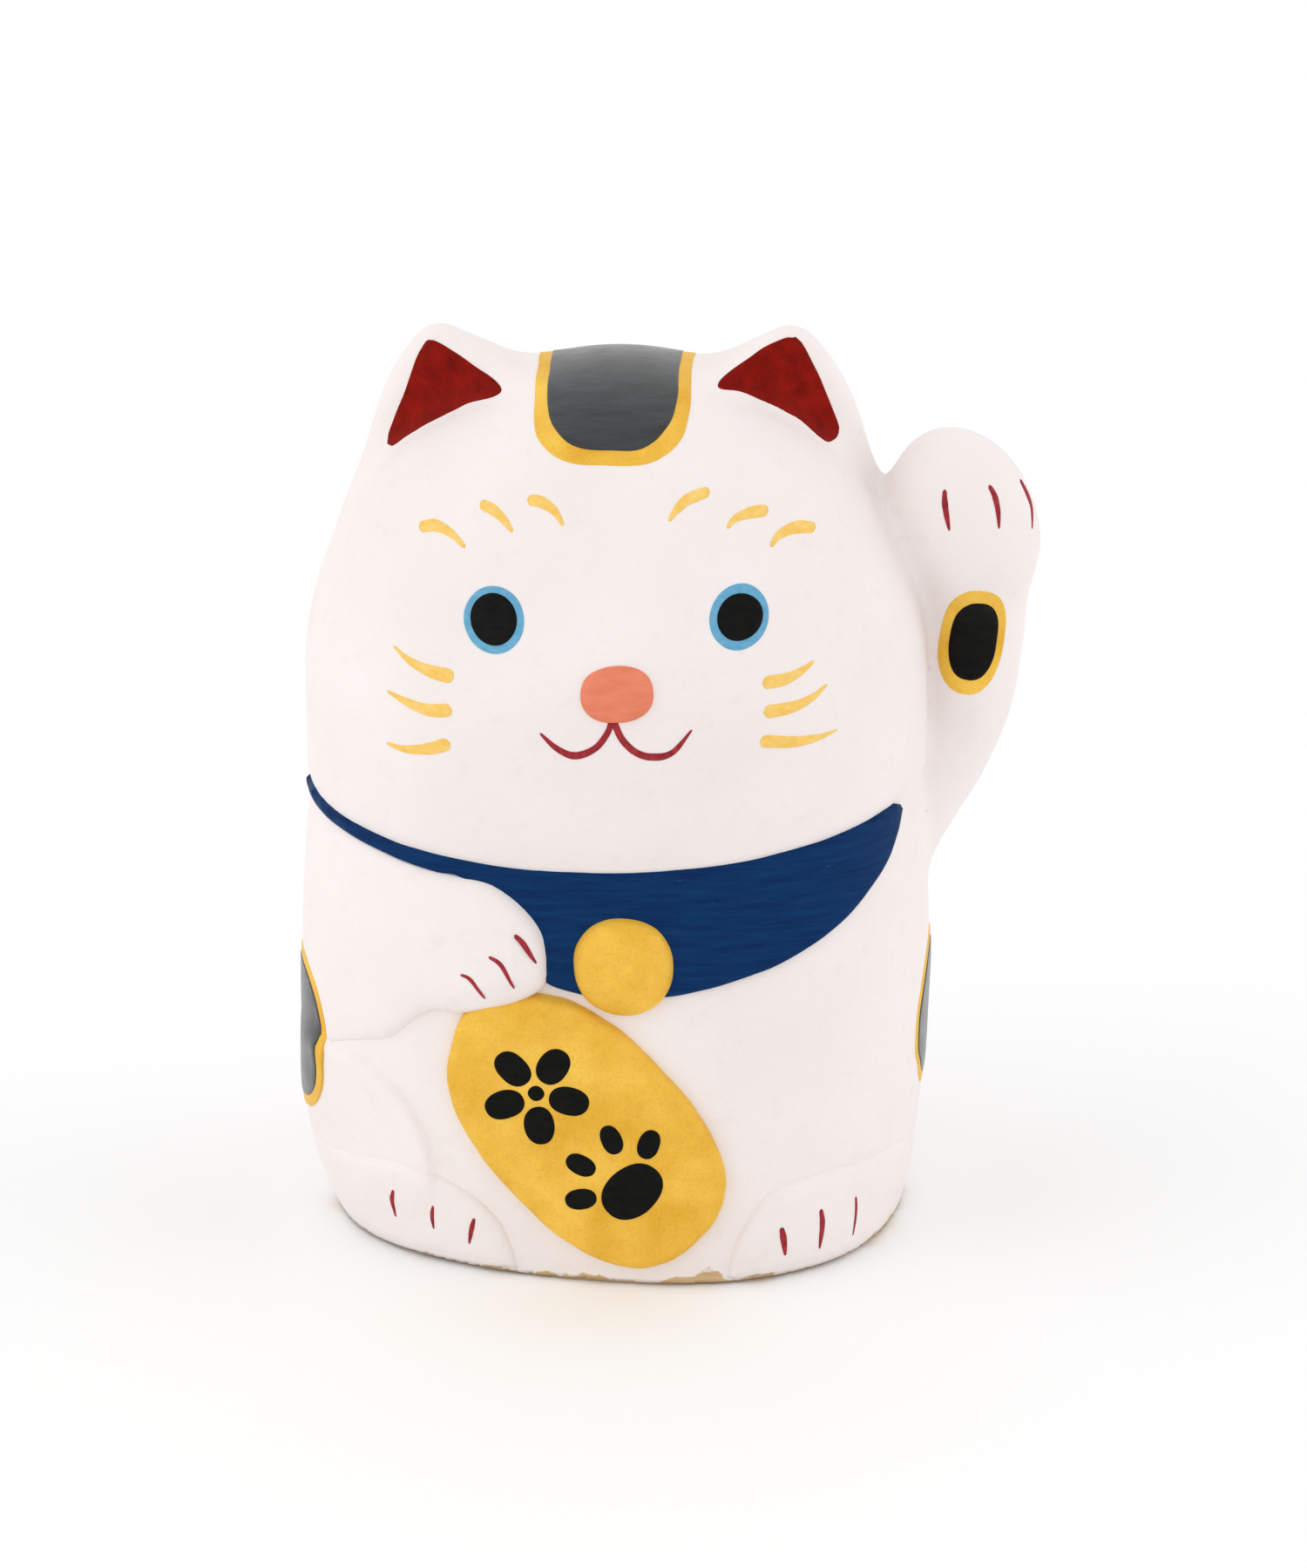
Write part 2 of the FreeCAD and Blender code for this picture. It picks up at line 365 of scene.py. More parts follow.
def closed_patch(top, bottom, faces):
    """Points and faces of a closed solid between two sheets with the same faces."""
    count = len(top)
    rim = free_edges(faces)
    walls = np.stack([rim[:, 1], rim[:, 0], rim[:, 0] + count, rim[:, 1] + count], 1)
    solid = [list(f) for f in faces] + [list(f[::-1] + count) for f in faces] + [list(f) for f in walls]
    return np.concatenate([top, bottom]), solid


def shell_piece(name, points, normals, faces):
    """One piece of the white paper wall, with its thickness."""
    used, flat = np.unique(faces, return_inverse=True)
    faces = flat.reshape(faces.shape)
    top, out = points[used], normals[used]
    wall = np.interp(top[:, 2], [BOARD_TOP + 0.2, BOARD_TOP + 1.5], [SKIRT, WALL])
    solid_points, solid_faces = closed_patch(top, top - wall[:, None] * out, faces)
    return add_mesh(name, solid_points, solid_faces, np.concatenate([out, -out]))


# ---------------------------------------------------------------- outlines, in a flat sheet of two coordinates

def oval(centre, half, tilt=0.0, power=2.0, step=0.5):
    """A superellipse outline. tilt is in degrees."""
    count = max(16, int(2 * math.pi * max(half) / step))
    t = np.arange(count) * 2 * math.pi / count
    x = half[0] * np.sign(np.cos(t)) * np.abs(np.cos(t)) ** (2 / power)
    y = half[1] * np.sign(np.sin(t)) * np.abs(np.sin(t)) ** (2 / power)
    return turned(np.stack([x, y], 1), math.radians(tilt)) + np.array(centre)


def stroke(points, widths, step=0.25):
    """The outline of a brush stroke along points, its width running through widths, its ends round."""
    line = run(points, step)
    along = np.concatenate([[0], np.cumsum(np.linalg.norm(np.diff(line, axis=0), axis=1))])
    half = np.interp(along / along[-1], np.linspace(0, 1, len(widths)), widths) / 2
    for distance, width in ((along, widths[0]), (along[-1] - along, widths[-1])):
        short = 1 - np.clip(distance / (width / 2), 0, 1)
        half = half * np.sqrt(1 - short ** 2)
    half = np.maximum(half, 0.04)
    tangent = np.gradient(line, axis=0)
    tangent /= np.linalg.norm(tangent, axis=1)[:, None] + 1e-9
    side = np.stack([-tangent[:, 1], tangent[:, 0]], 1)
    return np.concatenate([line + side * half[:, None], (line - side * half[:, None])[::-1]])


def tangents(outline):
    """Unit directions along a closed outline."""
    tangent = np.roll(outline, -1, axis=0) - np.roll(outline, 1, axis=0)
    return tangent / (np.linalg.norm(tangent, axis=1)[:, None] + 1e-9)


def hand_drawn(outline, size, seed):
    """The outline with the small wander of a hand-held brush."""
    rng = random.Random(seed)
    centre = outline.mean(axis=0)
    tangent = tangents(outline)
    side = np.stack([tangent[:, 1], -tangent[:, 0]], 1)
    x, y = (outline - centre).T
    wander = np.zeros(len(outline))
    for pitch in (1.7, 2.9, 5.3):
        a, b = rng.uniform(0, 6.28), rng.uniform(0, 6.28)
        wander += np.sin(x / pitch * 2.1 + a) * np.cos(y / pitch * 1.9 + b) * pitch / 5.3
    return outline + side * (size * wander)[:, None]


def distance_to(outline, q):
    """Distance from each point of q to a closed outline."""
    a, b = outline, np.roll(outline, -1, axis=0)
    best = np.full(len(q), 1e9)
    for start in range(0, len(a), 64):
        s, e = a[start:start + 64], b[start:start + 64]
        d = e - s
        t = ((q[:, None] - s) * d).sum(2) / ((d * d).sum(1) + 1e-12)
        near = s + np.clip(t, 0, 1)[:, :, None] * d
        best = np.minimum(best, np.linalg.norm(q[:, None] - near, axis=2).min(axis=1))
    return best


def is_inside(outline, q):
    """Whether each point of q is inside a closed outline."""
    a, b = outline, np.roll(outline, -1, axis=0)
    hits = np.zeros(len(q), int)
    for (ax, ay), (bx, by) in zip(a, b):
        if ay == by:
            continue
        spans = (ay > q[:, 1]) != (by > q[:, 1])
        hits += spans & (q[:, 0] < (bx - ax) * (q[:, 1] - ay) / (by - ay) + ax)
    return hits % 2 == 1


# ---------------------------------------------------------------- laying a sheet on the body

def cast(origin, direction, reach=70.0):
    """Where rays from outside first meet the body, and the surface's normals there."""
    travel = np.zeros(len(origin))
    for _ in range(90):
        value = cat_field(origin + direction * travel[:, None])
        travel = np.minimum(travel + np.clip(0.75 * value, -1.0, 4.0), reach)
    hit = settle(cat_field, origin + direction * travel[:, None], 0.3, 2)
    return hit, gradient(cat_field, hit)[0]


def from_front(q):
    """Sheet coordinates are X and Z."""
    origin = np.stack([q[:, 0], np.full(len(q), RAYS_FRONT), q[:, 1]], 1)
    return cast(origin, np.tile([0.0, 1.0, 0.0], (len(q), 1)))


def from_above(q):
    """Sheet coordinates are X and Y."""
    origin = np.stack([q[:, 0], q[:, 1], np.full(len(q), RAYS_ABOVE)], 1)
    return cast(origin, np.tile([0.0, 0.0, -1.0], (len(q), 1)))


def from_around(q):
    """Sheet coordinates are the way round the body from its front, towards +X, and Z."""
    angle = q[:, 0] / ROUND_RADIUS
    out = np.stack([np.sin(angle), -np.cos(angle), np.zeros(len(q))], 1)
    origin = out * RAYS_AROUND
    origin[:, 2] = q[:, 1]
    return cast(origin, -out)


def wrapped(points):
    """Turns X and Z on the front of the body into coordinates round it."""
    q = np.array(points, float)
    hit, _ = from_front(q)
    return np.stack([np.arctan2(hit[:, 0], -hit[:, 1]) * ROUND_RADIUS, q[:, 1]], 1)


def edge_profile(distance, height, soft):
    """Height of a relief at a distance in from its edge: a quarter of an ellipse, then flat."""
    share = 1 - np.clip(distance / soft, 0, 1)
    return height * np.sqrt(np.clip(1 - share ** 2, 0, 1))


def patch(name, outline, lay, height, soft, finish, step=0.9, sink=0.35, base=None, swell=None):
    """A closed patch of relief or paint inside an outline on the body's surface.

    height is its thickness and soft the width of its rounded edge. base gives what lies under it, and swell
    changes the height from place to place; both are functions of the sheet's coordinates.
    """
    low, high = outline.min(axis=0), outline.max(axis=0)
    grid = np.stack(np.meshgrid(np.arange(low[0], high[0], step), np.arange(low[1], high[1], step)), -1)
    grid[1::2, :, 0] += step / 2
    grid = grid.reshape(-1, 2)
    grid = grid[is_inside(outline, grid)]
    grid = grid[distance_to(outline, grid) > soft + 0.3 * step]
    tangent = tangents(outline)
    area = (outline[:, 0] * np.roll(outline[:, 1], -1) - outline[:, 1] * np.roll(outline[:, 0], -1)).sum()
    inward = np.stack([-tangent[:, 1], tangent[:, 0]], 1) * (1 if area > 0 else -1)
    rings = []
    for share in (0.12, 0.4, 1.0):
        ring = outline + inward * soft * share
        good = is_inside(outline, ring) & (distance_to(outline, ring) > 0.93 * soft * share)
        rings.append(ring[good])
    free = np.concatenate([grid] + rings)
    count = len(outline)
    edges = [(i, (i + 1) % count) for i in range(count)]
    spots = [Vector(q) for q in np.concatenate([outline, free])]
    flat, _, faces, _, _, _ = delaunay_2d_cdt(spots, edges, [], 0, 1e-5)
    q = np.array([tuple(v) for v in flat])
    faces = np.array(faces)
    faces = faces[is_inside(outline, q[faces].mean(axis=1))]
    distance = distance_to(outline, q)
    rise = edge_profile(distance, height, soft)
    if swell is not None:
        rise = rise * swell(q)
    lift = base(q) if base is not None else np.zeros(len(q))
    hit, normal = lay(q)
    a, b, c = (hit[faces[:, i]] for i in range(3))
    facing = (np.cross(b - a, c - a) * normal[faces[:, 0]]).sum(axis=1)
    faces[facing < 0] = faces[facing < 0][:, ::-1]
    top = hit + normal * (rise + lift)[:, None]
    bottom = hit + normal * (lift - sink)[:, None]
    piece = add_mesh(name, *closed_patch(top, bottom, faces))
    return dress(piece, finish)


def dress(piece, finish):
    piece.data.materials.append(finish)
    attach(piece, "root")
    return piece


# ---------------------------------------------------------------- materials

class Nodes:
    """A short way to write a material's nodes."""

    def __init__(self, name):
        self.material = bpy.data.materials.new(name)
        self.material.use_nodes = True
        self.tree = self.material.node_tree
        self.shader = self.tree.nodes["Principled BSDF"]

    def add(self, kind, settings=None, **inputs):
        node = self.tree.nodes.new(kind)
        for key, value in (settings or {}).items():
            setattr(node, key, value)
        for key, value in inputs.items():
            self.put(node.inputs[key.replace("_", " ")], value)
        return node

    def put(self, socket, value):
        if isinstance(value, bpy.types.NodeSocket):
            self.tree.links.new(value, socket)
        else:
            socket.default_value = value

    def noise(self, size_mm, stretch=(1, 1, 1), detail=4.0, roughness=0.55):
        """Noise with features of size_mm, longer along an axis whose stretch is over 1."""
        place = self.add("ShaderNodeTexCoord").outputs["Object"]
        scale = tuple(1 / (size_mm * MM * s) for s in stretch)
        mapping = self.add("ShaderNodeMapping", Vector=place, Scale=scale)
        texture = self.add("ShaderNodeTexNoise", Vector=mapping.outputs[0], Scale=1.0, Detail=detail,
                           Roughness=roughness)
        return texture.outputs["Fac"]

    def ramp(self, value, stops):
        """Colours or greys at places from 0 to 1."""
        node = self.add("ShaderNodeValToRGB", Fac=value)
        line = node.color_ramp
        while len(line.elements) < len(stops):
            line.elements.new(0.5)
        for element, (place, colour) in zip(line.elements, stops):
            element.position = place
            grey = isinstance(colour, (int, float))
            element.color = (colour, colour, colour, 1) if grey else (*colour, 1)
        return node.outputs["Color"]

    def mix(self, factor, a, b, blend="MIX"):
        node = self.add("ShaderNodeMix", {"data_type": "RGBA", "blend_type": blend})
        self.put(node.inputs[0], factor)
        self.put(node.inputs[6], a)
        self.put(node.inputs[7], b)
        return node.outputs[2]

    def bump(self, *layers):
        """Bumps of (value, height in mm), one over the other."""
        normal = None
        for value, height in layers:
            node = self.add("ShaderNodeBump", Height=value, Distance=height * MM, Strength=1.0)
            if normal is not None:
                self.put(node.inputs["Normal"], normal)
            normal = node.outputs["Normal"]
        self.put(self.shader.inputs["Normal"], normal)

    def finish(self, colour, rough, metallic=0.0, specular=0.5, sheen=0.0):
        self.put(self.shader.inputs["Base Color"], colour)
        self.put(self.shader.inputs["Roughness"], rough)
        self.shader.inputs["Metallic"].default_value = metallic
        self.shader.inputs["Specular IOR Level"].default_value = specular
        self.shader.inputs["Sheen Weight"].default_value = sheen
        return self.material


def white_ground():
    """Matte shell-white ground over pasted paper, with bare tan paper where the foot has rubbed."""
    n = Nodes("white_ground")
    cloud = n.ramp(n.noise(22.0), [(0.3, (0.84, 0.775, 0.755)), (0.7, (0.875, 0.815, 0.80))])
    stain = n.ramp(n.noise(3.2, detail=6.0), [(0.28, (0.955, 0.935, 0.90)), (0.42, (1, 1, 1))])
    colour = n.mix(0.55, cloud, stain, "MULTIPLY")
    place = n.add("ShaderNodeTexCoord").outputs["Object"]
    height = n.add("ShaderNodeSeparateXYZ", Vector=place).outputs["Z"]
    ragged = n.add("ShaderNodeMath", {"operation": "MULTIPLY"})
    n.put(ragged.inputs[0], n.noise(7.0, detail=5.0))
    n.put(ragged.inputs[1], 10.0 * MM)
    above = n.add("ShaderNodeMath", {"operation": "SUBTRACT"})
    n.put(above.inputs[0], height)
    n.put(above.inputs[1], ragged.outputs[0])
    rubbed = n.add("ShaderNodeMapRange", Value=above.outputs[0])
    for name, value in (("From Min", -4.45 * MM), ("From Max", -4.15 * MM), ("To Min", 1.0), ("To Max", 0.0)):
        rubbed.inputs[name].default_value = value
    tan = n.ramp(n.noise(1.5, (4, 4, 1)), [(0.3, (0.50, 0.33, 0.16)), (0.7, (0.72, 0.52, 0.30))])
    colour = n.mix(rubbed.outputs[0], colour, tan)
    streak = n.noise(0.5, (5, 5, 0.8), detail=3.0)
    n.bump((n.noise(0.35, detail=5.0), 0.05), (streak, 0.03), (n.noise(4.5), 0.22))
    return n.finish(colour, n.ramp(n.noise(2.5), [(0.3, 0.68), (0.7, 0.84)]), specular=0.25)


def brushed_paint(name, dark, light, streak_mm, stretch, rough, grain=0.05, specular=0.2, sheen=0.0,
                  light_flecks=None):
    """Opaque paint with the streaks of the brush."""
    n = Nodes(name)
    streak = n.noise(streak_mm, stretch, detail=5.0, roughness=0.65)
    colour = n.ramp(streak, [(0.32, dark), (0.68, light)])
    if light_flecks is not None:
        fleck = n.ramp(n.noise(1.1, (3.5, 3.5, 0.8), detail=6.0, roughness=0.7), [(0.66, 0.0), (0.78, 1.0)])
        colour = n.mix(fleck, colour, (*light_flecks, 1))
    n.bump((streak, grain), (n.noise(0.4, detail=4.0), grain * 0.7))
    finish = n.ramp(n.noise(3.0), [(0.3, rough - 0.07), (0.7, rough + 0.07)])
    return n.finish(colour, finish, specular=specular, sheen=sheen)


def gold_paint():
    """Ochre gold paint: fine dark speckle, cloudy, a little metal in it."""
    n = Nodes("gold_paint")
    cloud = n.ramp(n.noise(9.0), [(0.3, (0.75, 0.40, 0.028)), (0.7, (0.93, 0.585, 0.085))])
    speckle = n.ramp(n.noise(0.4, detail=6.0, roughness=0.8), [(0.34, (0.72, 0.60, 0.42)), (0.5, (1, 1, 1))])
    colour = n.mix(0.5, cloud, speckle, "MULTIPLY")
    n.bump((n.noise(0.45, detail=5.0, roughness=0.7), 0.07), (n.noise(5.0), 0.15))
    return n.finish(colour, n.ramp(n.noise(1.2), [(0.3, 0.42), (0.7, 0.58)]), metallic=0.12, specular=0.2)


def card():
    """Raw tan card: grey-brown fibres."""
    n = Nodes("card")
    fibre = n.noise(0.9, (6, 6, 0.5), detail=6.0, roughness=0.7)
    colour = n.ramp(fibre, [(0.3, (0.36, 0.24, 0.13)), (0.7, (0.62, 0.45, 0.26))])
    n.bump((fibre, 0.08))
    return n.finish(colour, n.ramp(n.noise(2.0), [(0.3, 0.82), (0.7, 0.95)]), specular=0.2)


def clay():
    """Dried clay, grey-brown and pitted."""
    n = Nodes("clay")
    colour = n.ramp(n.noise(3.0, detail=7.0), [(0.3, (0.25, 0.18, 0.13)), (0.7, (0.42, 0.33, 0.25))])
    n.bump((n.noise(0.8, detail=6.0), 0.2))
    return n.finish(colour, n.ramp(n.noise(2.0), [(0.3, 0.85), (0.7, 0.97)]), specular=0.2)


WHITE = white_ground()
BLUE = brushed_paint("navy_paint", (0.0005, 0.018, 0.084), (0.002, 0.036, 0.127), 1.0, (9, 9, 0.8), 0.46,
                     specular=0.07, light_flecks=(0.03, 0.12, 0.28))
GOLD = gold_paint()
BLACK = brushed_paint("charcoal_paint", (0.012, 0.013, 0.014), (0.036, 0.041, 0.045), 1.4, (7, 3, 1.2), 0.36,
                      sheen=0.3)
RED = brushed_paint("deep_red_paint", (0.15, 0.003, 0.001), (0.27, 0.007, 0.002), 2.4, (1, 1, 1), 0.5,
                    specular=0.06, light_flecks=(0.36, 0.010, 0.004))
PINK = brushed_paint("salmon_paint", (0.71, 0.19, 0.10), (0.80, 0.24, 0.135), 1.2, (3, 3, 1), 0.5)
SKY = brushed_paint("sky_paint", (0.10, 0.33, 0.52), (0.16, 0.42, 0.62), 0.8, (2, 2, 1), 0.5)
CLAW = brushed_paint("claw_paint", (0.20, 0.008, 0.014), (0.42, 0.030, 0.040), 0.8, (1, 1, 2), 0.55)
OCHRE = brushed_paint("ochre_stroke", (0.84, 0.50, 0.085), (0.92, 0.63, 0.20), 0.9, (2, 2, 1), 0.5)
# the darker ink for the pupils and the plaque's ornaments; it is also painted shade on the forearm's black patch,
# whose real paint is the same charcoal as the flanks
INK_AND_SHADED_BLACK = brushed_paint("ink", (0.002, 0.002, 0.002), (0.006, 0.006, 0.005), 0.8, (2, 2, 1), 0.4, specular=0.08)
CARD = card()
CLAY = clay()


# ---------------------------------------------------------------- the white pieces

def white_pieces():
    """Polygonises the whole white surface once and parts it into the frame's pieces."""
    low, high = (-49.3, -47.1, SKIRT_Z - 1.3), (62.9, 45.6, 132.0)
    points, quads = surface_net(cat_field, low, high, NET_STEP)
    points = settle(cat_field, points, 0.45)
    normals = gradient(cat_field, points)[0]
    centre = points[quads].mean(axis=1)
    facing = normals[quads].mean(axis=1)
    ears = {side: ear_field(centre, side) for side in (-1, 1)}
    arm = arm_field(centre)
    shell = shell_field(centre)
    on_ear = {side: (ears[side] < shell) & (ears[side] < arm) for side in (-1, 1)}
    on_arm = (arm < shell) & ~on_ear[-1] & ~on_ear[1]
    on_shell = ~(on_arm | on_ear[-1] | on_ear[1])
    # the shell is open at the foot, where the board closes it
    open_foot = (centre[:, 2] < SKIRT_Z + 0.35) & (facing[:, 2] < -0.7)
    front = centre[:, 1] < 0
    parts = {
        "front_shell": on_shell & front & ~open_foot,
        "back_shell": on_shell & ~front & ~open_foot,
        "left_ear": on_ear[1],
        "right_ear": on_ear[-1],
        "raised_arm": on_arm,
    }
    for node, chosen in parts.items():
        piece = shell_piece(f"white_{node}", points, normals, quads[chosen])
        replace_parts(dress(piece, WHITE), node)


def seam_strip():
    """The paper strip pasted over the joint of the two half shells, on the inside, from foot to foot."""
    turn, y = np.meshgrid(np.radians(np.arange(-142.0, 142.1, 2.0)), np.linspace(-0.5, 0.5, 5) * SEAM_WIDTH,
                          indexing="ij")
    out = np.stack([np.sin(turn.ravel()), np.zeros(turn.size), np.cos(turn.ravel())], 1)
    middle = np.stack([np.zeros(turn.size), y.ravel(), np.full(turn.size, 60.0)], 1)
    sheets = []
    for depth in (WALL + SEAM_GAP, WALL + SEAM_GAP + SEAM_THICK):
        near, far = np.zeros(turn.size), np.full(turn.size, 90.0)
        for _ in range(24):
            half = (near + far) / 2
            outside = shell_field(middle + out * half[:, None]) > -depth
            near, far = np.where(outside, near, half), np.where(outside, half, far)
        sheets.append(middle + out * near[:, None])
    index = np.arange(turn.size).reshape(turn.shape)
    faces = np.stack([index[:-1, :-1], index[:-1, 1:], index[1:, 1:], index[1:, :-1]], -1).reshape(-1, 4)
    piece = add_mesh("paper_seam_strip", *closed_patch(*sheets, faces))
    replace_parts(dress(piece, CARD), "seam_strip")


def worn_board():
    """The card under the foot, its edge a little uneven."""
    outline = oval((0, 0), (FOOT_HALF[0] - BOARD_INSET, FOOT_HALF[1] - BOARD_INSET), power=FOOT_POWER)
    outline = hand_drawn(turned(outline, BASE_TURN) + np.array(FOOT_SHIFT) - (LEAN, 0), 0.08, 5)
    count = len(outline)
    levels = ((0.0, 0.35), (0.3, 0.05), (BOARD_TOP - 0.3, 0.0), (BOARD_TOP, 0.25))
    points, faces = [], []
    for z, inset in levels:
        ring = outline * (1 - inset / BODY_HALF[1])
        points += [(x, y, z) for x, y in ring]
    for level in range(len(levels) - 1):
        for i in range(count):
            j = (i + 1) % count
            a, b = level * count, (level + 1) * count
            faces.append([a + i, a + j, b + j, b + i])
    faces.append(list(range(count))[::-1])
    faces.append([(len(levels) - 1) * count + i for i in range(count)])
    piece = add_mesh("card_base", np.array(points), faces)
    for polygon in piece.data.polygons:
        polygon.use_smooth = len(polygon.vertices) == 4
    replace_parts(dress(piece, CARD), "base_board")


# ---------------------------------------------------------------- reliefs

def strip(x):
    """Width of the bib's strip between the chin and the lowered arm."""
    return np.interp(x, [-43.4, -40.0, -34.5, -31.0, -27.5, -24.0, -20.8], [0.3, 0.5, 0.6, 0.8, 1.1, 1.3, 1.2])


ARM_PAW = [(-17.5, 59.3), (-15.3, 58.7), (-12.9, 57.2), (-10.8, 55.3), (-9.2, 53.3), (-8.3, 51.3), (-7.9, 48.5)]
ARM_LOWER = [(-7.9, 48.5), (-8.0, 45.0), (-9.4, 43.2), (-11.7, 41.9), (-14.4, 40.8), (-17.1, 40.0), (-20.5, 39.4),
             (-23.0, 39.6), (-25.6, 38.6), (-28.6, 35.9), (-30.6, 34.2), (-35.3, 32.7), (-39.2, 31.2)]


def arm_outline():
    x = np.linspace(-43.4, -19.0, 9)
    shoulder = list(zip(x, chin_line(x) - strip(x)))
    upper, lower = wrapped(run(shoulder + ARM_PAW, 1.0)), wrapped(run(ARM_LOWER, 1.0))
    behind = run([lower[-1], (-56.0, 30.6), (-63.0, 33.0), (-66.0, 42.0), (-65.0, 55.0), (-60.0, 64.0),
                  upper[0]], 1.0)
    return np.concatenate([upper[:-1], lower[:-1], behind[:-1]])


def arm_swell(q):
    """The arm is thickest at its paw and sinks into the body towards the shoulder."""
    near_paw = np.clip((q[:, 0] + 46.0) / 33.0, 0, 1)
    return 0.03 + 0.97 * near_paw ** 1.2


ARM_SHEET = arm_outline()


def paw_rise(q):
    """Height of the lowered arm's relief."""
    return edge_profile(distance_to(ARM_SHEET, q), ARM_RISE, ARM_SOFT) * arm_swell(q)


def foot_rise(q):
    """Height of a foot's relief, which fades out round the side."""
    return 0.06 + 0.94 * np.clip((50.0 - np.abs(q[:, 0])) / 15.0, 0, 1)


def koban_outline():
    """The plaque's outline, its upper end drawn out under the paw."""
    plain = oval((0, 0), KOBAN_HALF, 0, 2.45)
    plain[:, 1] += 1.6 * np.exp(-((plain[:, 0] + 0.5) / 4.5) ** 2) * (plain[:, 1] > 0)
    return turned(plain, math.radians(KOBAN_TILT)) + np.array(KOBAN_CENTRE)


def koban_rise(q):
    """Height of the plaque: flat, with a soft ridge that runs down from the paw's corner."""
    ridge = np.exp(-((q[:, 0] + 8.0) / 2.0) ** 2) * np.clip((q[:, 1] - 31.0) / 9.0, 0, 1)
    return KOBAN_RISE * (1 + 0.28 * ridge)


def lowered_arm():
    piece = patch("chest_arm", ARM_SHEET, from_around, ARM_RISE, ARM_SOFT, WHITE, swell=arm_swell)
    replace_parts(piece, "lowered_arm")


def bib():
    """The bib from the chin line down, with the strip of it that shows between the chin and the lowered arm."""
    chin_x = np.linspace(-43.0, 40.6, 60)
    chin = np.stack([chin_x, chin_line(chin_x) + 0.9], 1)
    right = run([(40.2, 65.2), (39.3, 61.4), (37.4, 57.4), (31.8, 51.6), (24.6, 47.4), (17.2, 44.8),
                 (9.5, 43.1), (2.0, 42.6), (-2.6, 42.9)])
    shoulder = np.linspace(-20.0, -43.2, 9)
    shoulder = list(zip(shoulder, chin_line(shoulder) - strip(shoulder) - 0.4))
    under = run([(-2.6, 42.9), (-8.6, 45.0), (-13.0, 51.0), (-16.5, 55.5)] + shoulder)
    outline = wrapped(np.concatenate([chin[:-1], right[:-1], under[:-1]]))
    point = (outline[0] + outline[-1]) / 2 - (4.0, 0.0)
    outline = hand_drawn(np.concatenate([outline, [point]]), 0.05, 3)
    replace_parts(patch("navy_bib", outline, from_around, 0.8, 0.55, BLUE, step=0.8), "bib")


def bell_and_koban():
    half = BELL_SIZE[0] / 2
    bell = hand_drawn(oval((BELL_MID[0], BELL_MID[2]), (half, half * 1.02), power=2.15), 0.10, 8)
    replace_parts(patch("gold_bell", bell, from_front, 2.3, 2.2, GOLD, step=0.6,
                      swell=lambda q: 1 + 0.12 * np.cos(np.linalg.norm(q - bell.mean(axis=0), axis=1) / 4)),
                "bell")

    koban = hand_drawn(koban_outline(), 0.10, 4)
    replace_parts(patch("gold_koban", koban, from_front, 1.0, 1.3, GOLD, swell=koban_rise), "koban")


def feet():
    left = run([(50.0, 14.5), (41.0, 15.8), (35.0, 16.1), (30.5, 15.7), (25.5, 14.9), (22.6, 13.7),
                (20.8, 11.7), (19.0, 8.7), (17.6, 5.2), (16.8, 1.0)])
    right = run([(-50.0, 12.5), (-36.5, 14.6), (-30.8, 15.6), (-26.5, 15.2), (-22.3, 13.8), (-18.2, 11.4),
                 (-15.2, 8.3), (-13.5, 4.4), (-12.7, 1.0)])
    for name, side, line in (("left_foot", 1, left), ("right_foot", -1, right)):
        front = line[np.abs(line[:, 0]) < 40.0]
        top = wrapped(front)
        sole = np.array([(side * u, 0.9) for u in np.linspace(18.0, 60.0, 30)])
        sole = sole[np.abs(sole[:, 0]) > abs(top[-1, 0]) + 0.5]
        back = run([sole[-1], (side * 63.0, 6.0), (side * 60.0, 12.0), top[0]], 1.0)
        outline = np.concatenate([top, sole, back[1:-1]])
        piece = patch(f"white_{name}", outline, from_around, 1.0, 2.4, WHITE, swell=foot_rise)
        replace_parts(piece, name)


def nose():
    outline = hand_drawn(oval((NOSE_MID[0] + 0.5, NOSE_MID[2] - 0.1), (4.9, 3.75), power=2.3), 0.08, 6)
    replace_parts(patch("pink_nose", outline, from_front, 1.1, 2.6, PINK, step=0.5), "nose")


def tail():
    """A curled tail in relief on the back, painted black with a gold edge."""
    back = math.pi * ROUND_RADIUS
    line = run([(back - x, z + 0.6) for x, z in [(-2.0, 6.0), (6.0, 5.2), (13.5, 7.2), (18.5, 12.0), (19.6, 18.0)]])
    edge = stroke(line, [7.8, 9.6, 9.6, 8.6], 0.6)
    piece = patch("gold_tail_edge", edge, from_around, TAIL_RISE, TAIL_RISE, GOLD, step=0.8)
    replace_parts(piece, "tail")
    painted("black_tail", stroke(line[2:-2], [5.8, 7.4, 7.4, 6.4], 0.6), from_around, BLACK, PAINT,
            seed=33, base=lambda q: edge_profile(distance_to(edge, q), TAIL_RISE, TAIL_RISE) - 0.5 * PAINT)


# ---------------------------------------------------------------- brush work

def painted(name, outline, lay, finish, lift=0.0, step=0.8, wander=0.06, seed=1, base=None):
    """A thin patch of paint. lift is the thickness of the paint below it."""
    under = (lambda q: np.full(len(q), lift)) if base is None else (lambda q: base(q) + lift)
    return patch(name, hand_drawn(outline, wander, seed), lay, PAINT, PAINT_EDGE, finish, step, base=under)


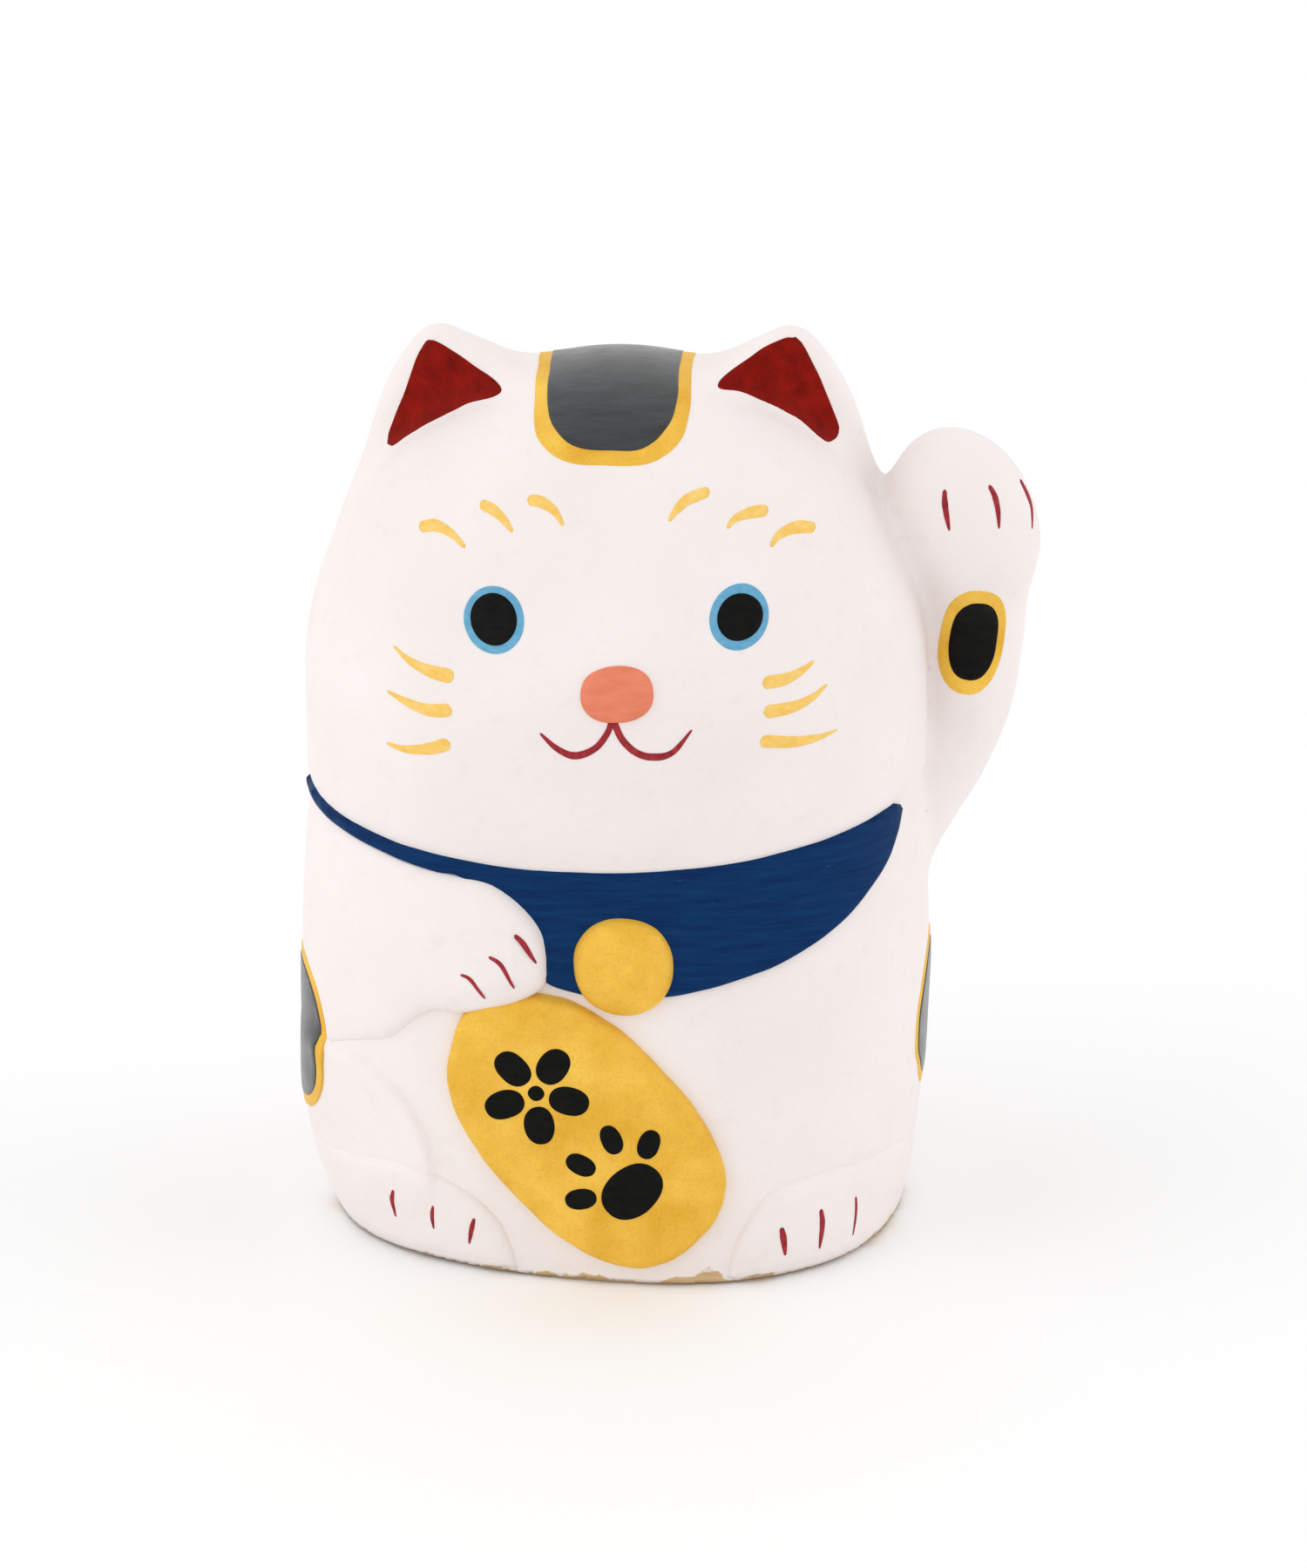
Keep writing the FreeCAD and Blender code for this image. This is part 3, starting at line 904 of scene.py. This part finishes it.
def face():
    for side, eye, ring, pupil in (
        (-1, (-15.05, 95.65), (4.15, 4.25), (3.2, 3.3)), (1, (17.95, 96.05), (3.95, 4.15), (3.05, 2.95)),
    ):
        name = "left" if side > 0 else "right"
        painted(f"{name}_eye_ring", oval(eye, ring), from_front, SKY, seed=11 + side)
        painted(f"{name}_pupil", oval(eye, pupil), from_front, INK_AND_SHADED_BLACK, PAINT, seed=21 + side)
    for side, line, widths in (
        (-1, [(1.1, 83.9), (0.5, 82.0), (-1.2, 79.7), (-3.9, 78.5), (-6.3, 79.4), (-8.6, 81.5)],
         [0.8, 0.9, 1.0, 1.1, 0.8, 0.3]),
        (1, [(1.3, 83.9), (2.4, 81.2), (4.2, 79.2), (6.4, 78.4), (9.1, 78.9), (11.8, 82.1)],
         [0.8, 0.9, 1.0, 1.1, 0.8, 0.3]),
    ):
        name = "left" if side > 0 else "right"
        painted(f"{name}_mouth", stroke(line, widths), from_front, CLAW, wander=0.03)
    brows = [
        [(-25.9, 105.5), (-23.6, 106.1), (-21.2, 105.5), (-19.2, 104.1)],
        [(-17.4, 109.4), (-15.7, 109.0), (-14.1, 108.0), (-12.7, 106.5)],
        [(-10.9, 110.4), (-9.1, 110.3), (-7.2, 109.4), (-5.8, 107.6)],
        [(13.7, 111.4), (10.9, 110.7), (9.4, 109.6), (8.3, 108.2)],
        [(21.6, 108.5), (19.4, 108.5), (17.2, 108.0), (16.1, 106.9)],
        [(28.1, 105.5), (25.3, 106.0), (23.0, 105.4), (22.0, 104.2)],
    ]
    whiskers = [
        [(-29.1, 90.6), (-26.8, 89.1), (-24.0, 88.2), (-20.5, 87.7)],
        [(-30.0, 84.5), (-27.1, 83.5), (-24.0, 82.9), (-20.7, 83.3)],
        [(-30.1, 77.2), (-27.4, 76.9), (-24.0, 77.5), (-21.0, 78.7)],
        [(28.0, 89.3), (26.4, 88.3), (24.2, 87.5), (21.0, 87.3)],
        [(29.9, 86.0), (27.8, 84.5), (25.1, 83.6), (21.3, 83.4)],
        [(31.3, 79.5), (28.7, 78.9), (25.1, 78.8), (20.8, 79.5)],
    ]
    for i, line in enumerate(brows):
        painted(f"brow_{i + 1}", stroke(line, [1.2, 1.35, 1.1, 0.5]), from_front, OCHRE, seed=i)
    for i, line in enumerate(whiskers):
        painted(f"whisker_{i + 1}", stroke(line, [0.3, 1.1, 1.7, 1.9]), from_front, OCHRE,
                seed=i + 9)


def crown_patch():
    """The black patch over the crown with its gold border, seen from above."""
    def slab(half, low, high):
        return loop([(-half, high), (-half - 0.2, (low + high) / 2), (-half, low + 8.0), (-half + 1.6, low + 3.2),
                     (-half * 0.5, low + 0.6), (0.0, low), (half * 0.5, low + 0.5), (half - 1.6, low + 3.2),
                     (half, low + 8.0), (half + 0.2, (low + high) / 2), (half, high), (half * 0.5, high + 3.0),
                     (0.0, high + 3.6), (-half * 0.5, high + 3.0)])
    painted("crown_gold", slab(10.5, -25.4, 16.0), from_above, GOLD, seed=31)
    painted("crown_black", slab(8.75, -23.65, 14.0), from_above, BLACK, PAINT, seed=32)


def ear_panels():
    """The red inside of each ear on its front face."""
    for name, outline in (
        ("left", [(24.5, 128.2), (25.8, 127.5), (28.9, 121.0), (31.1, 114.8), (30.1, 113.2), (28.4, 114.0),
                  (24.6, 117.4), (18.0, 121.0), (14.4, 122.4), (19.4, 126.2), (23.0, 128.0)]),
        ("right", [(-25.2, 127.5), (-20.2, 124.8), (-15.4, 121.4), (-21.2, 118.7), (-28.1, 114.4), (-31.4, 112.0),
                   (-31.8, 113.4), (-29.0, 121.0), (-27.0, 126.0)]),
    ):
        painted(f"{name}_ear_red", loop(outline, 0.5), from_front, RED, seed=len(name), wander=0.08)


def spots():
    """Black patches with gold borders: one on the raised forearm and one on each flank. The forearm's black is
    painted shade: the darker ink stands in for the same charcoal paint where it catches less reflection.
    """
    painted("arm_spot_gold", oval((50.2, 84.9), (4.55, 8.3), -7, 2.4), from_front, GOLD, seed=51)
    # painted shade: the forearm patch's black is the darker ink, standing in for the charcoal paint that only
    # reflects less of the bright surroundings here
    painted("arm_spot_shaded_black", oval((50.4, 84.9), (3.3, 6.2), -7, 2.4), from_front, INK_AND_SHADED_BLACK, PAINT,
            seed=52)
    for side, centre, half in ((-1, (-54.0, 29.4), (11.5, 11.6)), (1, (62.0, 30.3), (12.0, 11.0))):
        name = "left" if side > 0 else "right"
        base = paw_rise if side < 0 else None
        edge = oval(centre, half, power=2.2)
        if side < 0:
            # the gold runs out a little along the crease under the arm
            edge[:, 0] += 0.45 * np.exp(-((edge[:, 1] - 29.4) / 1.1) ** 2) * (edge[:, 0] > centre[0])
        painted(f"{name}_flank_gold", edge, from_around, GOLD, seed=60 + side, base=base)
        inner = oval(centre, (half[0] - 1.2, half[1] - 1.6), power=2.2)
        painted(f"{name}_flank_black", inner, from_around, BLACK, PAINT, seed=70 + side, base=base)


def claws():
    groups = {
        "raised_claw": (from_front, None, [
            (0.9, [(45.8, 108.2), (45.8, 106.9), (46.0, 105.2), (46.5, 102.6)]),
            (0.8, [(51.9, 108.6), (52.7, 107.2), (53.2, 105.2), (53.4, 102.7)]),
            (0.4, [(56.4, 108.2), (57.4, 106.2), (58.1, 104.1), (58.2, 101.4)])]),
        "left_foot_claw": (from_around, foot_rise, [
            (0.95, [(23.9, 8.8), (24.2, 6.8), (24.4, 4.2)]),
            (0.85, [(29.2, 10.6), (29.4, 8.1), (29.0, 4.1)]),
            (0.5, [(34.0, 11.1), (34.0, 8.2), (33.6, 4.3)])]),
        "right_foot_claw": (from_around, foot_rise, [
            (0.7, [(-29.8, 11.5), (-30.1, 9.5), (-29.7, 6.7)]),
            (0.65, [(-24.3, 10.1), (-24.4, 8.2), (-24.2, 6.1)]),
            (0.8, [(-18.4, 8.9), (-18.8, 7.1), (-19.2, 4.6)])]),
        "chest_claw": (from_around, paw_rise, [
            (0.75, [(-12.0, 52.3), (-10.8, 51.0), (-9.2, 48.2)]),
            (0.7, [(-15.5, 49.0), (-13.8, 47.9), (-12.1, 44.7)]),
            (0.6, [(-19.4, 46.0), (-18.0, 45.4), (-16.1, 42.8)])]),
    }
    for name, (lay, base, lines) in groups.items():
        for i, (width, line) in enumerate(lines):
            points = line if lay is from_front else wrapped(line)
            outline = stroke(points, [0.6 * width, width, 0.8 * width, 0.3 * width])
            painted(f"{name}_{i + 1}", outline, lay, CLAW, wander=0.02, step=0.5, base=base)


def koban_motif():
    """Two plain ornaments in brush and ink, a five-petal blossom and a paw print, in place of any writing."""

    def spot(name, centre, far, turn, half, seed):
        t = math.radians(turn)
        middle = np.array([centre[0] + far * math.cos(t), centre[1] + far * math.sin(t)])
        middle = turned(middle, math.radians(KOBAN_TILT)) + np.array(KOBAN_CENTRE)
        painted(name, oval(middle, half, KOBAN_TILT + turn, 2.2, 0.35), from_front, INK_AND_SHADED_BLACK,
                step=0.6, wander=0.07, seed=seed, base=koban_rise)

    blossom, pad = (-0.9, 9.0), (-0.4, -10.2)
    for i in range(5):
        spot(f"blossom_petal_{i + 1}", blossom, 4.7, 90 + 72 * i, (2.8, 2.1), 80 + i)
    spot("blossom_heart", blossom, 0.0, 0, (1.1, 1.1), 86)
    spot("print_pad", pad, 0.0, 4, (4.6, 3.5), 87)
    for i, (turn, far) in enumerate(((150, 7.2), (111, 7.9), (69, 8.0), (30, 7.3))):
        spot(f"print_toe_{i + 1}", pad, far, turn, (2.2, 1.5), 90 + i)


# ---------------------------------------------------------------- making

white_pieces()
seam_strip()
worn_board()
lowered_arm()
bib()
bell_and_koban()
feet()
nose()
tail()
face()
crown_patch()
ear_panels()
spots()
claws()
koban_motif()

# the weight inside the shell keeps its CAD shape
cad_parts["clay_weight"].data.materials.clear()
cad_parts["clay_weight"].data.materials.append(CLAY)


# ---------------------------------------------------------------- camera, light and floor

def studio():
    scene = bpy.context.scene
    scene.view_settings.view_transform = "Standard"
    scene.view_settings.look = "None"
    low, high = (np.array(corner) for corner in cad_box)
    target = Vector((0.0052, 0.0, 0.4785 * (high[2] - low[2])))
    azimuth, elevation, far = math.radians(2.0), math.radians(17.0), 0.7
    back = Vector((math.sin(azimuth) * math.cos(elevation), -math.cos(azimuth) * math.cos(elevation),
                   math.sin(elevation)))
    camera = bpy.data.objects.new("camera", bpy.data.cameras.new("camera"))
    camera.location = target + back * far
    camera.rotation_euler = back.to_track_quat("Z", "Y").to_euler()
    camera.data.lens = 112.0
    camera.data.sensor_width = 36.0
    camera.data.sensor_height = 36.0
    camera.data.clip_start = 0.01
    scene.collection.objects.link(camera)
    scene.camera = camera

    mesh = bpy.data.meshes.new("floor")
    mesh.from_pydata([(-4, -4, 0), (4, -4, 0), (4, 4, 0), (-4, 4, 0)], [], [(0, 1, 2, 3)])
    floor = bpy.data.objects.new("floor", mesh)
    scene.collection.objects.link(floor)
    paper = bpy.data.materials.new("floor_paper")
    paper.use_nodes = True
    paper.node_tree.nodes["Principled BSDF"].inputs["Base Color"].default_value = (0.95, 0.95, 0.95, 1)
    paper.node_tree.nodes["Principled BSDF"].inputs["Roughness"].default_value = 0.9
    mesh.materials.append(paper)

    world = bpy.data.worlds.new("world")
    scene.world = world
    world.use_nodes = True
    world.node_tree.nodes["Background"].inputs[0].default_value = (1.0, 1.0, 1.0, 1)
    world.node_tree.nodes["Background"].inputs[1].default_value = 0.95

    for name, towards, strength, spread in (
        ("key", (-1.0, -0.35, 0.45), 0.6, 70.0),
        ("side", (1.0, 0.0, 0.35), 0.45, 60.0),
    ):
        light = bpy.data.lights.new(name, "SUN")
        light.energy = strength
        light.angle = math.radians(spread)
        lamp = bpy.data.objects.new(name, light)
        lamp.rotation_euler = Vector(towards).to_track_quat("Z", "Y").to_euler()
        scene.collection.objects.link(lamp)


studio()
